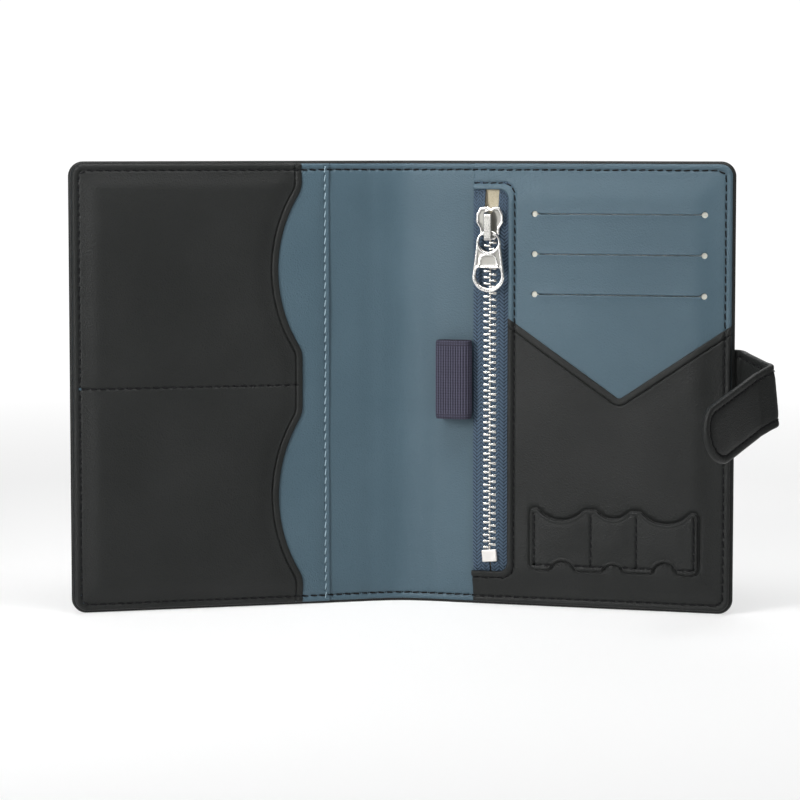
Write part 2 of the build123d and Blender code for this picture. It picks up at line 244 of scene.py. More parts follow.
def edge_gap(u, z):
    """Distance in from the cover's outline, which has round corners at the fore-edge."""
    du, dz = COVER - u, np.minimum(z, HEIGHT - z)
    corner = (du < CORNER) & (dz < CORNER)
    return np.where(corner, CORNER - np.hypot(CORNER - du, CORNER - dz), np.minimum(du, dz))


def cover_loop(start, inset, low=None, high=None):
    """Closed outline from u = start to the fore-edge, drawn in by inset."""
    low, high = inset if low is None else low, HEIGHT - inset if high is None else high
    fore, radius = COVER - inset, CORNER - inset
    return rounded([(start, low), (fore, low), (fore, high), (start, high)],
                   [0, radius if low == inset else 0, radius if high == HEIGHT - inset else 0, 0])


def side_line(start, inset):
    """Open line round the cover's three outer sides."""
    return cover_loop(start, inset)[:-1]


def placed(side):
    """Turns flat (u, z, n) points of a cover, and of its half of the spine, to the row frame in metres."""
    def move(points):
        u, z, n = points.T
        s = HALF_SPINE + u
        y = HINGE_N - n + BOW * np.clip(1 - (s / HALF_SPINE) ** 2, 0, 1) ** 2
        a = -TURN * smooth(s, HALF_SPINE - BEND, HALF_SPINE + BEND)
        x = HALF_SPINE + u * np.cos(a) - y * np.sin(a)
        return np.stack([side * x, u * np.sin(a) + y * np.cos(a), z], axis=1) * MM
    return move


def make_object(name, points, faces, material, coordinates=None):
    """A smooth-shaded mesh object, with its flat coordinates as UV."""
    mesh = bpy.data.meshes.new(name)
    mesh.from_pydata([tuple(p) for p in points], [], [tuple(int(i) for i in f) for f in faces])
    mesh.update()
    if coordinates is not None:
        layer = mesh.uv_layers.new(name="flat")
        index = np.empty(len(mesh.loops), np.int32)
        mesh.loops.foreach_get("vertex_index", index)
        layer.data.foreach_set("uv", (np.asarray(coordinates)[index] * 0.01).astype(np.float32).ravel())
    mesh.polygons.foreach_set("use_smooth", np.ones(len(mesh.polygons), bool))
    mesh.materials.append(material)
    obj = bpy.data.objects.new(name, mesh)
    bpy.context.scene.collection.objects.link(obj)
    return obj


def solid(name, points, faces, material, coordinates=None, **values):
    """A mesh object with all faces outwards, and with values of its points by name."""
    obj = make_object(name, points, faces, material, coordinates)
    work = bmesh.new()
    work.from_mesh(obj.data)
    bmesh.ops.recalc_face_normals(work, faces=work.faces)
    work.to_mesh(obj.data)
    work.free()
    for key, value in values.items():
        attribute = obj.data.attributes.new(key, "FLOAT", "POINT")
        attribute.data.foreach_set("value", np.asarray(value, np.float32))
    return obj


def triangulated(loops, guides, coarse, fine):
    """Flat triangles within loops[0] and outside the other loops, finer along the outlines and guides."""
    edges, outline, count = [], [], 0
    for loop in loops:
        step = fine if np.ptp(loop, axis=0).min() > 5 else min(fine, 0.16)
        ring = np.concatenate([even(loop[i:i + 2], step)[:-1] for i in range(len(loop) - 1)])
        edges += [(count + i, count + (i + 1) % len(ring)) for i in range(len(ring))]
        outline.append(ring)
        count += len(ring)
    rows = []
    for line, offsets in [(loop, EDGE_ROWS) for loop in loops] + list(guides):
        track = even(line, min(fine, 0.5))
        for offset in offsets:
            rows += [track + beside(track) * offset, track - beside(track) * offset]
    rows = np.concatenate(rows)
    (u0, z0), (u1, z1) = loops[0].min(0), loops[0].max(0)
    grid = np.stack(np.meshgrid(np.arange(u0, u1, coarse), np.arange(z0, z1, coarse)), axis=-1).reshape(-1, 2)
    spare = np.concatenate([rows, grid])
    spare = spare[inside(spare, loops[0])]
    for loop in loops[1:]:
        spare = spare[~inside(spare, loop)]
    for loop in loops:
        spare = spare[nearest(spare, loop)[0] > 0.05]
    cell = np.round(spare / min(0.14, fine / 2)).astype(int)
    spare = spare[np.sort(np.unique(cell, axis=0, return_index=True)[1])]
    points = np.concatenate(outline + [spare])
    out = geometry.delaunay_2d_cdt([Vector(p) for p in points], edges, [], 0, 1e-5)
    flat = np.array([tuple(v) for v in out[0]])
    faces = np.array(out[2])
    middle = flat[faces].mean(1)
    kept = inside(middle, loops[0])
    for loop in loops[1:]:
        kept &= ~inside(middle, loop)
    return flat, faces[kept]


def bullnose(gap, radius):
    """How far a rounded edge drops at a distance in from it."""
    g = np.clip(gap, 0, radius)
    return radius - np.sqrt(np.maximum(radius ** 2 - (radius - g) ** 2, 0))


def level(height):
    """A surface at one height."""
    return lambda u, z, gap=None: u * 0 + height


def below(surface, depth):
    """A surface some way below another."""
    return lambda u, z, gap=None: surface(u, z) - depth


def sheet_piece(name, loops, top, bottom, move, material, guides=(), coarse=1.6, fine=0.55, shade=None,
                seam=None):
    """A piece between two surfaces over a flat outline, left open only along u = seam."""
    flat, faces = triangulated(loops, guides, coarse, fine)
    used, faces = np.unique(faces, return_inverse=True)
    flat, faces = flat[used], faces.reshape(-1, 3)
    gap = np.min([nearest(flat, loop)[0] for loop in loops], axis=0)
    u, z = flat.T
    upper, lower = (np.column_stack([flat, surface(u, z, gap)]) for surface in (top, bottom))
    count = len(flat)
    pairs = np.sort(np.concatenate([faces[:, [0, 1]], faces[:, [1, 2]], faces[:, [2, 0]]]), axis=1)
    pairs, times = np.unique(pairs, axis=0, return_counts=True)
    rim = pairs[times == 1]
    if seam is not None:
        rim = rim[flat[rim, 0].max(axis=1) > seam + 0.001]
    walls = [(a, b, b + count, a + count) for a, b in rim]
    # Values for metal parts: real polish of their rims, also used to paint a highlight there.
    values = {"polish": np.concatenate([shade(u, z, gap)] * 2)} if shade else {}
    return solid(name, move(np.concatenate([upper, lower])), [*faces, *(faces[:, ::-1] + count), *walls],
                 material, np.concatenate([flat, flat]), **values)


def stitched(u, z, line, depth=0.3, pitch=STITCH, width=0.5):
    """Groove of a stitch line, deeper where the needle goes in."""
    far, along = nearest(np.column_stack([u, z]), line)
    whole = np.linalg.norm(np.diff(line, axis=0), axis=1).sum()
    length = whole / max(1, round(whole / pitch))
    hole = np.maximum(np.cos(2 * pi * along / length), 0) ** 5
    return -depth * bell(far, width) - (0.3 + 0.4 * depth) * bell(far, 0.36) * hole


def thread(name, runs, surface, move, material, radius=THREAD, pitch=STITCH, slant=0.12, lift=0.1):
    """One short bent capsule of thread for each stitch along the runs."""
    rings, sides = 7, 6
    points, faces = [], []
    for run in runs:
        track = even(run, pitch)
        for k, (start, end) in enumerate(zip(track[:-1], track[1:])):
            along = end - start
            across = np.array([-along[1], along[0]]) / np.linalg.norm(along)
            wobble = 0.05 * sin(12.9898 * k + 4.1 * start[0])
            for i in range(rings):
                t = i / (rings - 1)
                place = start + along * (0.06 + 0.88 * t) + across * (slant * (t - 0.5) * 2 + wobble)
                ground = float(surface(np.array([place[0]]), np.array([place[1]]))[0])
                height = ground + lift - 0.4 * (2 * t - 1) ** 6
                size = radius * (1 - 0.55 * abs(2 * t - 1) ** 5)
                for j in range(sides):
                    angle = 2 * pi * j / sides
                    side = place + across * size * cos(angle)
                    points.append((side[0], side[1], height + size * sin(angle)))
            base = len(points) - rings * sides
            for i in range(rings - 1):
                for j in range(sides):
                    a, b = base + i * sides + j, base + i * sides + (j + 1) % sides
                    faces.append((a, b, b + sides, a + sides))
            faces += [range(base + sides - 1, base - 1, -1), range(len(points) - sides, len(points))]
    return solid(name, move(np.array(points)), faces, material)


# Materials


class Nodes:
    """The node tree of a material or world, with short calls that add nodes and link them."""

    def __init__(self, owner):
        owner.use_nodes = True
        self.tree = owner.node_tree

    def add(self, kind, into=None, out=0, **values):
        """Adds a node, with its inputs set or linked by name, and gives one of its outputs."""
        node = self.tree.nodes.new("ShaderNode" + kind)
        for key, value in values.items():
            if key.startswith("_"):
                setattr(node, key[1:], value)
                continue
            socket = node.inputs[key.replace("__", " ")]
            if isinstance(value, bpy.types.NodeSocket):
                self.tree.links.new(value, socket)
            else:
                socket.default_value = value
        if into:
            self.tree.links.new(node.outputs[out], into)
        return node.outputs[out]

    def weighted(self, value, factor, other):
        """value times factor, plus other."""
        node = self.tree.nodes.new("ShaderNodeMath")
        node.operation = "MULTIPLY_ADD"
        self.tree.links.new(value, node.inputs[0])
        node.inputs[1].default_value = factor
        self.tree.links.new(other, node.inputs[2])
        return node.outputs[0]

    def ramp(self, value, low, high, into=None):
        """A colour that goes from one to another, each given as a position and a colour."""
        node = self.tree.nodes.new("ShaderNodeValToRGB")
        self.tree.links.new(value, node.inputs[0])
        for element, (position, color) in zip(node.color_ramp.elements, (low, high)):
            element.position, element.color = position, (*color, 1)
        if into:
            self.tree.links.new(node.outputs[0], into)
        return node.outputs[0]

    def mixed(self, share, first, second, into):
        """Two shaders mixed by a share."""
        node = self.tree.nodes.new("ShaderNodeMixShader")
        for socket, value in zip(node.inputs, (share, first, second)):
            self.tree.links.new(value, socket)
        self.tree.links.new(node.outputs[0], into)


def begun(name, color, roughness, metallic=0.0):
    """A new material, its nodes and its shader's inputs, with the values that are the same all over."""
    material = bpy.data.materials.new(name)
    nodes = Nodes(material)
    surface = nodes.tree.nodes["Principled BSDF"].inputs
    surface["Base Color"].default_value = (*color, 1)
    surface["Roughness"].default_value = roughness
    surface["Metallic"].default_value = metallic
    return material, nodes, surface


def leather(name, color, lighter, roughness, shine, grain=240.0):
    """Fine-grained leather: cellular pebbles and creases, uneven colour and gloss."""
    material, nodes, surface = begun(name, color, roughness)
    place = nodes.add("UVMap")
    cells = nodes.add("TexVoronoi", Vector=place, Scale=grain, _feature="SMOOTH_F1")
    folds = nodes.add("TexVoronoi", Vector=place, Scale=grain * 0.45, _feature="DISTANCE_TO_EDGE")
    fine = nodes.add("TexNoise", Vector=place, Scale=grain * 2.2, Detail=3.0)
    cloud = nodes.add("TexNoise", Vector=place, Scale=3.2, Detail=4.0)
    nodes.ramp(cloud, (0.32, color), (0.7, lighter), surface["Base Color"])
    nodes.add("MapRange", surface["Roughness"], Value=fine, To__Min=roughness - 0.07,
              To__Max=roughness + 0.09)
    pebbles = nodes.weighted(fine, 0.35, nodes.weighted(cells, 0.7, folds))
    nodes.add("Bump", surface["Normal"], Strength=0.6, Distance=0.00022, Height=pebbles)
    surface["Specular IOR Level"].default_value = shine
    return material


def cloth(name, dark, light, scale, sheen=0.25):
    """Woven or spun cloth, with crossing threads."""
    material, nodes, surface = begun(name, dark, 0.85)
    place = nodes.add("TexCoord", out="Object")
    noise = nodes.add("TexNoise", Vector=place, Scale=scale * 0.4, Detail=4.0)
    weave = nodes.add("TexVoronoi", Vector=place, Scale=scale)
    threads = nodes.weighted(noise, 1.0, weave)
    nodes.ramp(threads, (0.35, dark), (1.0, light), surface["Base Color"])
    nodes.add("Bump", surface["Normal"], Strength=0.5, Distance=0.0001, Height=threads)
    surface["Sheen Weight"].default_value = sheen
    surface["Specular IOR Level"].default_value = 0.2
    return material


def yarn(name, dark, light):
    """Cloth whose raised threads are in the mesh: their height, kept as a value of its points, paints
    near-black shade into the low places between the yarns and lighter lit tops on the raised yarns.
    """
    material, nodes, surface = begun(name, dark, 0.8)
    height = nodes.add("Attribute", out="Fac", _attribute_name="weave")
    noise = nodes.add("TexNoise", Vector=nodes.add("TexCoord", out="Object"), Scale=2600.0, Detail=3.0)
    # Painted shade and light: low weave goes near black, raised weave lighter.
    nodes.ramp(nodes.weighted(noise, 0.3, height), (0.3, dark), (0.95, light), surface["Base Color"])
    nodes.add("Bump", surface["Normal"], Strength=0.45, Distance=0.00008, Height=noise)
    surface["Specular IOR Level"].default_value = 0.15
    return material


def metal(name, color, roughness):
    """Plated metal with faint wear."""
    material, nodes, surface = begun(name, color, roughness, 1.0)
    place = nodes.add("TexCoord", out="Object")
    fine = nodes.add("TexNoise", Vector=place, Scale=900.0, Detail=5.0)
    cloud = nodes.add("TexNoise", Vector=place, Scale=160.0, Detail=2.0)
    nodes.ramp(cloud, (0.3, [c * 0.86 for c in color]), (0.7, color), surface["Base Color"])
    nodes.add("MapRange", surface["Roughness"], Value=fine, To__Min=roughness - 0.06,
              To__Max=roughness + 0.06)
    nodes.add("Bump", surface["Normal"], Strength=0.08, Distance=0.00005, Height=fine)
    return material


def polished(name, dull, bright):
    """Plated metal, satin on its faces and polished on its raised rims, as a value of its points tells; the
    same value paints the rims much lighter and the faces darker, a painted highlight over the rims' real
    polish.
    """
    material, nodes, surface = begun(name, dull, 0.4, 1.0)
    rim = nodes.add("Attribute", out="Fac", _attribute_name="polish")
    fine = nodes.add("TexNoise", Vector=nodes.add("TexCoord", out="Object"), Scale=1400.0, Detail=4.0)
    # Painted highlight: the rims' colour goes from dull to near white, on top of their real polish.
    nodes.ramp(rim, (0.1, dull), (0.9, bright), surface["Base Color"])
    nodes.add("MapRange", surface["Roughness"], Value=rim, To__Min=0.42, To__Max=0.16)
    nodes.add("Bump", surface["Normal"], Strength=0.15, Distance=0.00004, Height=fine)
    return material


BLACK = leather("black_leather", (0.0105, 0.0115, 0.011), (0.015, 0.016, 0.0155), 0.48, 0.22)
BLUE = leather("blue_leather", (0.048, 0.086, 0.112), (0.057, 0.098, 0.126), 0.48, 0.34)
# Tape and elastic: the dark colour of each is painted shade between the yarns, the light one their lit tops.
TAPE = yarn("navy_tape", (0.002, 0.003, 0.006), (0.07, 0.105, 0.15))
ELASTIC = yarn("navy_elastic", (0.003, 0.003, 0.005), (0.068, 0.066, 0.098))
BEIGE = cloth("beige_lining", (0.36, 0.31, 0.2), (0.55, 0.49, 0.36), 2200.0)
CREAM = cloth("cream_backing", (0.46, 0.45, 0.39), (0.62, 0.61, 0.54), 1500.0)
NICKEL = metal("nickel", (0.56, 0.55, 0.52), 0.22)
# Its dull and bright colours paint a highlight on the raised rims, over their real polish.
PLATED = polished("plated_metal", (0.27, 0.265, 0.245), (0.8, 0.79, 0.77))
STOP = metal("stop_metal", (0.75, 0.73, 0.7), 0.4)
BLACK_THREAD = cloth("black_thread", (0.002, 0.002, 0.003), (0.007, 0.007, 0.008), 5000.0, 0.0)
BLUE_THREAD = cloth("blue_thread", (0.16, 0.24, 0.29), (0.3, 0.4, 0.46), 5000.0, 0.0)
STEEL = metal("magnet_steel", (0.5, 0.5, 0.5), 0.35)
BOARD = cloth("fibre_board", (0.2, 0.17, 0.12), (0.36, 0.31, 0.24), 900.0)
FOIL = metal("foil", (0.75, 0.76, 0.77), 0.3)


# How pieces are put on their bodies

COVERS = {FRONT: "front_cover", BACK: "back_cover"}


def labelled(replaced=()):
    """Hides the CAD nodes that a piece stands for."""
    if replaced:
        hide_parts(*replaced)


def attached(obj, side, replaced=(), body=None, hinge=False):
    """Puts a piece on a body, which is its cover unless named; with hinge its placement is only baked into
    its points.
    """
    if hinge:
        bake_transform(obj)
    else:
        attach(obj, body or COVERS[side])
    labelled(replaced)


def layer(name, loops, top, bottom, side, material, replaced=(), guides=(), coarse=1.6, body=None,
          hinge=False):
    """A sheet of a cover; with hinge it reaches on over half the spine, where its two halves meet."""
    piece = sheet_piece(name, loops, top, bottom, placed(side), material, guides, coarse, seam=-HALF_SPINE)
    attached(piece, side, replaced, body, hinge)


def sewn(name, runs, surface, side, material=BLACK_THREAD, radius=THREAD, pitch=STITCH, slant=0.12,
         hinge=False):
    """The thread of a cover's seams."""
    piece = thread(name, runs, surface, placed(side), material, radius, pitch, slant)
    attached(piece, side, hinge=hinge)


# Shells and linings

def shell(side, name, replaced):
    """Outer leather of one cover and half the spine, turned round the board at its edges."""
    line = side_line(-HALF_SPINE, STITCH_INSET)

    def top(u, z, gap):
        return SHELL - bullnose(edge_gap(u, z), 0.95)

    def bottom(u, z, gap=None):
        edge = edge_gap(u, z)
        soft = 0.05 * ripple(side * (HALF_SPINE + u), z, 3) * smooth(edge, 2, 12)
        return bullnose(edge, 0.95) - stitched(u, z, line, 0.22) + soft

    layer(name, [cover_loop(-HALF_SPINE, 0)], top, bottom, side, BLACK, replaced, [(line, SEAM_ROWS)], 2.0,
          hinge=True)
    sewn(name + "_stitches", [line], below(bottom, 0.2), side, hinge=True)


def lining_top(side):
    line = side_line(-HALF_SPINE, STITCH_INSET)

    def top(u, z, gap=None):
        g = edge_gap(u, z) - INSET
        soft = 0.1 * ripple(side * (HALF_SPINE + u), z, 5) * smooth(g, 2, 10)
        return LINING + 0.25 * smooth(g, 3, 10) + soft + stitched(u, z, line) - bullnose(g, 0.7)

    return top


def lining(side, name, replaced):
    """Blue lining over the spine and the inner part of a cover."""
    loop = rectangle(-HALF_SPINE, INSET, LINING_END, HEIGHT - INSET)
    seams = [[(-HALF_SPINE, z), (LINING_END, z)] for z in (STITCH_INSET, HEIGHT - STITCH_INSET)]
    guides = [(np.array(seam), SEAM_ROWS) for seam in seams]
    layer(name, [loop], lining_top(side), level(FOUNDATION), side, BLUE, replaced, guides, hinge=True)


# Front cover

def document_rise(u, z):
    """Height of the document pocket, without its own details."""
    g = edge_gap(u, z) - INSET
    return 3.2 + 0.3 * smooth(g, 3, 9) * smooth(u - DOCUMENT_EDGE, 1.6, 5)


def document_top(u, z, gap=None):
    g = edge_gap(u, z) - INSET
    free = u - DOCUMENT_EDGE
    hem = np.array([(HEM, INSET + 1), (HEM, HEIGHT - INSET - 1)])
    line = side_line(0, STITCH_INSET)
    return (document_rise(u, z) + 0.07 * ripple(u, z, 2) * smooth(g, 2, 10)
            + stitched(u, z, hem, 0.2, STITCH, 0.3) + stitched(u, z, line)
            - bullnose(free, 0.4) - bullnose(g, 0.7))


def document_pocket():
    loop = cover_loop(DOCUMENT_EDGE, INSET)
    seams = [[(HEM, INSET), (HEM, HEIGHT - INSET)]]
    seams += [[(DOCUMENT_EDGE, z), (48, z)] for z in (HEIGHT - STITCH_INSET, STITCH_INSET)]
    guides = [(np.array(seam), THIN_SEAM_ROWS) for seam in seams]
    layer("document_pocket_leather", [loop], document_top, level(FOUNDATION), FRONT, BLUE,
          ("document_pocket",), guides, 2.0)
    run = [(HEM, INSET + 0.5), (HEM, HEIGHT - INSET - 0.5)]
    sewn("document_stitches", [run], document_top, FRONT, BLUE_THREAD, 0.2, slant=0.24)


def card_edge_line():
    """The card pocket's wavy edge, from the top down, with two shallow arcs."""
    arcs = [arch(low, high, CARD_EDGE, CARD_EDGE + SCALLOP_DEPTH, 40)[::-1, ::-1] for high, low in SCALLOPS]
    line = np.concatenate([[(CARD_EDGE, HEIGHT - INSET)], *arcs, [(CARD_EDGE, INSET)]])
    return eased(line, 2.4, 0.5, closed=False)


CARD_LINE = card_edge_line()
CARD_CREASE, V_CREASE = 2.3, 2.4


def creased(free, at, swell):
    """A narrow crease beside a folded edge, with a low swell on both sides of it."""
    return (swell * bell(free - at + 0.9, 0.6) + (swell - 0.02) * bell(free - at - 0.7, 0.5)
            - 0.5 * bell(free - at, 0.22))


def crease_guide(line, at):
    track = even(line, 0.5)
    return track + beside(track) * at, CREASE_ROWS


def card_top(u, z, gap=None):
    g = edge_gap(u, z) - INSET
    free = away(u, z, CARD_LINE)
    seam = np.array([(CARD_EDGE + 2.2, CARD_SEAM), (COVER - STITCH_INSET, CARD_SEAM)])
    beside_seam = 0.45 + 0.55 * smooth(np.abs(z - CARD_SEAM), 0.5, 7)
    puff = 0.85 * smooth(g, 2.6, 9) * smooth(free, 2.5, 9) * beside_seam
    return (document_rise(u, z) + 0.45 + 0.3 * smooth(g, 3, 7) + puff
            + 0.07 * ripple(u, z, 4) * smooth(g, 2, 10) + creased(free, CARD_CREASE, 0.14)
            + stitched(u, z, seam) + stitched(u, z, side_line(0, STITCH_INSET), 0.34)
            - bullnose(free, 0.5) - bullnose(g, 0.9))


def card_pocket():
    corner = cover_loop(60, INSET)[:-1]
    loop = np.concatenate([CARD_LINE, corner[1:-1], CARD_LINE[:1]])
    seam = np.array([(CARD_EDGE + 1, CARD_SEAM), (COVER - STITCH_INSET, CARD_SEAM)])
    guides = [crease_guide(CARD_LINE, CARD_CREASE), (seam, WIDE_SEAM_ROWS),
              (side_line(CARD_EDGE, STITCH_INSET), WIDE_SEAM_ROWS)]
    layer("card_pocket_leather", [loop], card_top, level(FOUNDATION), FRONT, BLACK, ("card_pocket",), guides)
    sewn("card_seam_stitches", [seam], card_top, FRONT)


def front_surface(u, z):
    """Whichever layer of the front cover is uppermost."""
    free = np.interp(z, CARD_LINE[::-1, 1], CARD_LINE[::-1, 0])
    layers = np.where(u < DOCUMENT_EDGE, lining_top(FRONT)(u, z), document_top(u, z))
    return np.where(u > free, card_top(u, z), layers)


# Back cover

def back_rise(u, z):
    """Height of the blue panel, without its own details."""
    g = edge_gap(u, z) - INSET
    amount = 2.35 - 0.95 * smooth(u, 36, 74)
    return 2.85 + amount * smooth(g, 3.0, 13)


def window_line(out):
    """The window's edge, or a line that far outside it, from its top left end round to its bottom left."""
    radius = WINDOW_CORNER + out * 0.4
    fore, low, high = WINDOW_EDGE + out, WINDOW_LOW - out, WINDOW_HIGH + out
    ring = rounded([(PANEL_EDGE - 9, high), (fore, high), (fore, low), (PANEL_EDGE - 9, low)],
                   [0, radius, radius, 0])[:-1]
    ring[0, 0] = ring[-1, 0] = PANEL_EDGE
    return ring


def window_rim(u, z, height, rounding):
    """What the window adds to a layer round it: a roll, its seam and the drops at the layer's edges."""
    window = away(u, z, window_line(0))
    roll = height * np.sqrt(np.clip(1 - ((window - 1.0) / 1.3) ** 2, 0, 1))
    return (roll + stitched(u, z, window_line(WINDOW_SEAM), 0.42, WINDOW_STITCH, 0.55) - bullnose(window, 0.5)
            - bullnose(np.abs(u - PANEL_EDGE), rounding))


def window_guides():
    return [(window_line(WINDOW_SEAM), WIDE_SEAM_ROWS), (window_line(1.0), ROLL_ROWS),
            (side_line(PANEL_EDGE, STITCH_INSET), WIDE_SEAM_ROWS)]


def slot_loop(height):
    """Outline of a card slot: a hair-thin slit with a round hole at each end."""
    radius, half = 1.0, 0.13
    start = np.arcsin(half / radius)
    angle = np.linspace(start, 2 * pi - start, 18)
    hole = radius * np.column_stack([np.cos(angle), np.sin(angle)])
    left, right = hole + (SLOT_START, height), (SLOT_END, height) - hole
    return np.concatenate([left, right, left[:1]])


def panel_top(u, z, gap=None):
    g = edge_gap(u, z) - INSET
    slots = np.min([np.abs(z - h) for h in SLOTS], axis=0)
    along = smooth(u, SLOT_START - 3, SLOT_START + 4) * (1 - smooth(u, SLOT_END - 4, SLOT_END + 3))
    return (back_rise(u, z) + 0.22 * bell(slots, 1.6) * along + 0.06 * ripple(u, z, 7) * smooth(g, 2, 10)
            + window_rim(u, z, 0.5, 0.35) + stitched(u, z, side_line(PANEL_EDGE, STITCH_INSET))
            - bullnose(g, 0.8))


def card_panel():
    corner = rounded([(PANEL_EDGE, 60), (COVER - INSET, 60), (COVER - INSET, HEIGHT - INSET),
                      (PANEL_EDGE, HEIGHT - INSET)], [0, 0, CORNER - INSET, 0])[:-1]
    ring = window_line(0)
    ring = ring[ring[:, 1] > 60]
    loop = np.concatenate([[(WINDOW_EDGE, 60)], corner[1:], ring, [(WINDOW_EDGE, 60)]])
    holes = [slot_loop(h) for h in SLOTS]
    guides = window_guides()
    guides += [(np.array([(SLOT_START, h), (SLOT_END, h)]), (0.3, 0.6, 1.0, 1.6, 2.4)) for h in SLOTS]

    def top(u, z, gap):
        return panel_top(u, z) - bullnose(np.min([away(u, z, hole) for hole in holes], axis=0), 0.22)

    layer("card_panel_leather", [loop, *holes], top, below(back_rise, 0.7), BACK, BLUE, ("card_panel",),
          guides)


def slot_backing():
    """Cream cloth behind the punched holes, at both ends of the slots."""
    low, high = SLOTS[-1] - 6, SLOTS[0] + 6
    layers = ("card_layer_upper", "card_layer_middle", "card_layer_lower")
    for name, start, end, replaced in (("slot_backing_left_cloth", SLOT_START - 4, SLOT_START + 1.6, layers),
                                       ("slot_backing_right_cloth", SLOT_END - 1.6, SLOT_END + 4, ())):
        layer(name, [rectangle(start, low, end, high)], below(back_rise, 0.5), below(back_rise, 1.0), BACK,
              CREAM, replaced, (), 2.5)


def strip_loop():
    """Outline of the small card strip: three dips along the top and three notches along the bottom."""
    lower = [arch(start, end, STRIP_LOW, middle) for start, end, middle in STRIP_NOTCHES]
    upper = [arch(start, end, STRIP_HIGH, middle) for start, end, middle in STRIP_DIPS]
    corners = rounded([(STRIP_START, STRIP_LOW), (STRIP_END, STRIP_LOW), (STRIP_END, STRIP_HIGH),
                       (STRIP_START, STRIP_HIGH)], [2.2, 2.2, 1.2, 0.8], 6)[:-1]
    loop = np.concatenate([corners[:6], *lower, corners[6:18], np.concatenate(upper)[::-1], corners[18:]])
    return eased(np.concatenate([loop, loop[:1]]), 0.5)


STRIP_LOOP = strip_loop()


def v_line():
    """The V pocket's open edge, from the fore-edge to the window."""
    line = rounded([(COVER + 20, V_RIGHT + 10), (COVER - INSET, V_RIGHT), V_TIP, (WINDOW_EDGE, V_LEFT),
                    (WINDOW_EDGE - 30, V_LEFT + 20)], [0, 0, 1.6, 0, 0])
    return line[1:-2]


def v_base(u, z):
    """The V pocket's top, without the groove round the small card strip."""
    g = edge_gap(u, z) - INSET
    free = away(u, z, v_line())
    return (back_rise(u, z) + 0.62 + 0.08 * ripple(u, z, 9) * smooth(g, 2, 10)
            + 0.35 * smooth(g, 3, 12) * smooth(free, 2, 12) * smooth(u, 34, 50)
            + creased(free, V_CREASE, 0.12) + window_rim(u, z, 0.45, 0.4)
            + stitched(u, z, side_line(PANEL_EDGE, STITCH_INSET), 0.34)
            - bullnose(free, 0.45) - bullnose(g, 0.9))


def v_top(u, z, gap=None):
    """The V pocket's top, pressed in along the outline of the small card strip."""
    beyond = np.where(inside(np.column_stack([u, z]), STRIP_LOOP), 0, away(u, z, STRIP_LOOP))
    return v_base(u, z) - 0.4 * bell(beyond - 0.3, 0.4) * (beyond > 0)


def v_pocket():
    corner = rounded([(PANEL_EDGE, INSET), (COVER - INSET, INSET), (COVER - INSET, 60), (PANEL_EDGE, 60)],
                     [0, CORNER - INSET, 0, 0])[:-1]
    ring = window_line(0)
    ring = ring[ring[:, 1] < V_LEFT]
    loop = np.concatenate([corner[:-2], v_line(), ring, [(PANEL_EDGE, INSET)]])
    guides = [crease_guide(v_line(), V_CREASE), *window_guides(), (STRIP_LOOP, (0, 0.15, 0.3, 0.5, 0.8))]
    layer("v_pocket_leather", [loop], v_top, lambda u, z, gap: np.minimum(back_rise(u, z) - 0.5, 4.0), BACK,
          BLACK, ("v_pocket",), guides)


def strip_seams():
    """Stitch lines of the strip: its two ends and two dividers, then its bottom."""
    walls = [np.array([(u, STRIP_HIGH - 1.6), (u, STRIP_SEAM)]) for u in STRIP_WALLS]
    return walls, np.array([(STRIP_WALLS[0], STRIP_SEAM), (STRIP_WALLS[-1], STRIP_SEAM)])


def strip_top(u, z, gap=None):
    free = away(u, z, STRIP_LOOP) if gap is None else gap
    walls, floor = strip_seams()
    seams = sum(stitched(u, z, line, 0.25, STRIP_STITCH, 0.4) for line in [*walls, floor])
    nearest_wall = np.min([np.abs(u - wall) for wall in STRIP_WALLS], axis=0)
    puff = 0.4 * smooth(nearest_wall, 1, 6) * smooth(z, STRIP_LOW + 4, STRIP_LOW + 10)
    return v_base(u, z) + 1.15 + puff + seams - 0.16 * bell(free - 1.1, 0.3) - bullnose(free, 0.5)


def runs_of(line, kept):
    """The unbroken stretches of a polyline's points that are kept."""
    index = np.flatnonzero(kept)
    return [line[part] for part in np.split(index, np.flatnonzero(np.diff(index) > 1) + 1)]


def small_strip():
    walls, floor = strip_seams()
    guides = [(line, WIDE_SEAM_ROWS) for line in [*walls, floor]] + [(STRIP_LOOP, (0.9, 1.1, 1.4))]
    layer("small_card_strip_leather", [STRIP_LOOP], strip_top, below(v_base, 0.4), BACK, BLACK,
          ("small_card_strip",), guides, 1.2)
    track = even(floor, 0.2)
    runs = walls + runs_of(track, inside(track, STRIP_LOOP))
    sewn("small_strip_stitches", runs, strip_top, BACK, pitch=STRIP_STITCH)


def back_surface(u, z):
    """Whichever layer of the back cover is uppermost."""
    edge = np.interp(u, v_line()[::-1, 0], v_line()[::-1, 1])
    return np.where(u < PANEL_EDGE, lining_top(BACK)(u, z), np.where(z < edge, v_top(u, z), panel_top(u, z)))


# Zip

def tape_height(u, z):
    """Top of the zip tape: it climbs from its outer edge to the teeth, and dips at both ends of the zip."""
    ends = smooth(z, WINDOW_LOW - 4, WINDOW_LOW + 9) * (1 - smooth(z, WINDOW_HIGH - 8, WINDOW_HIGH + 4))
    fall = np.where(u < ZIP_U, 1 - smooth(ZIP_U - u, 5.8, 2.6), smooth(u - ZIP_U, 2.4, 6.4))
    return 3.1 + ends * (1.75 - 0.9 * fall)


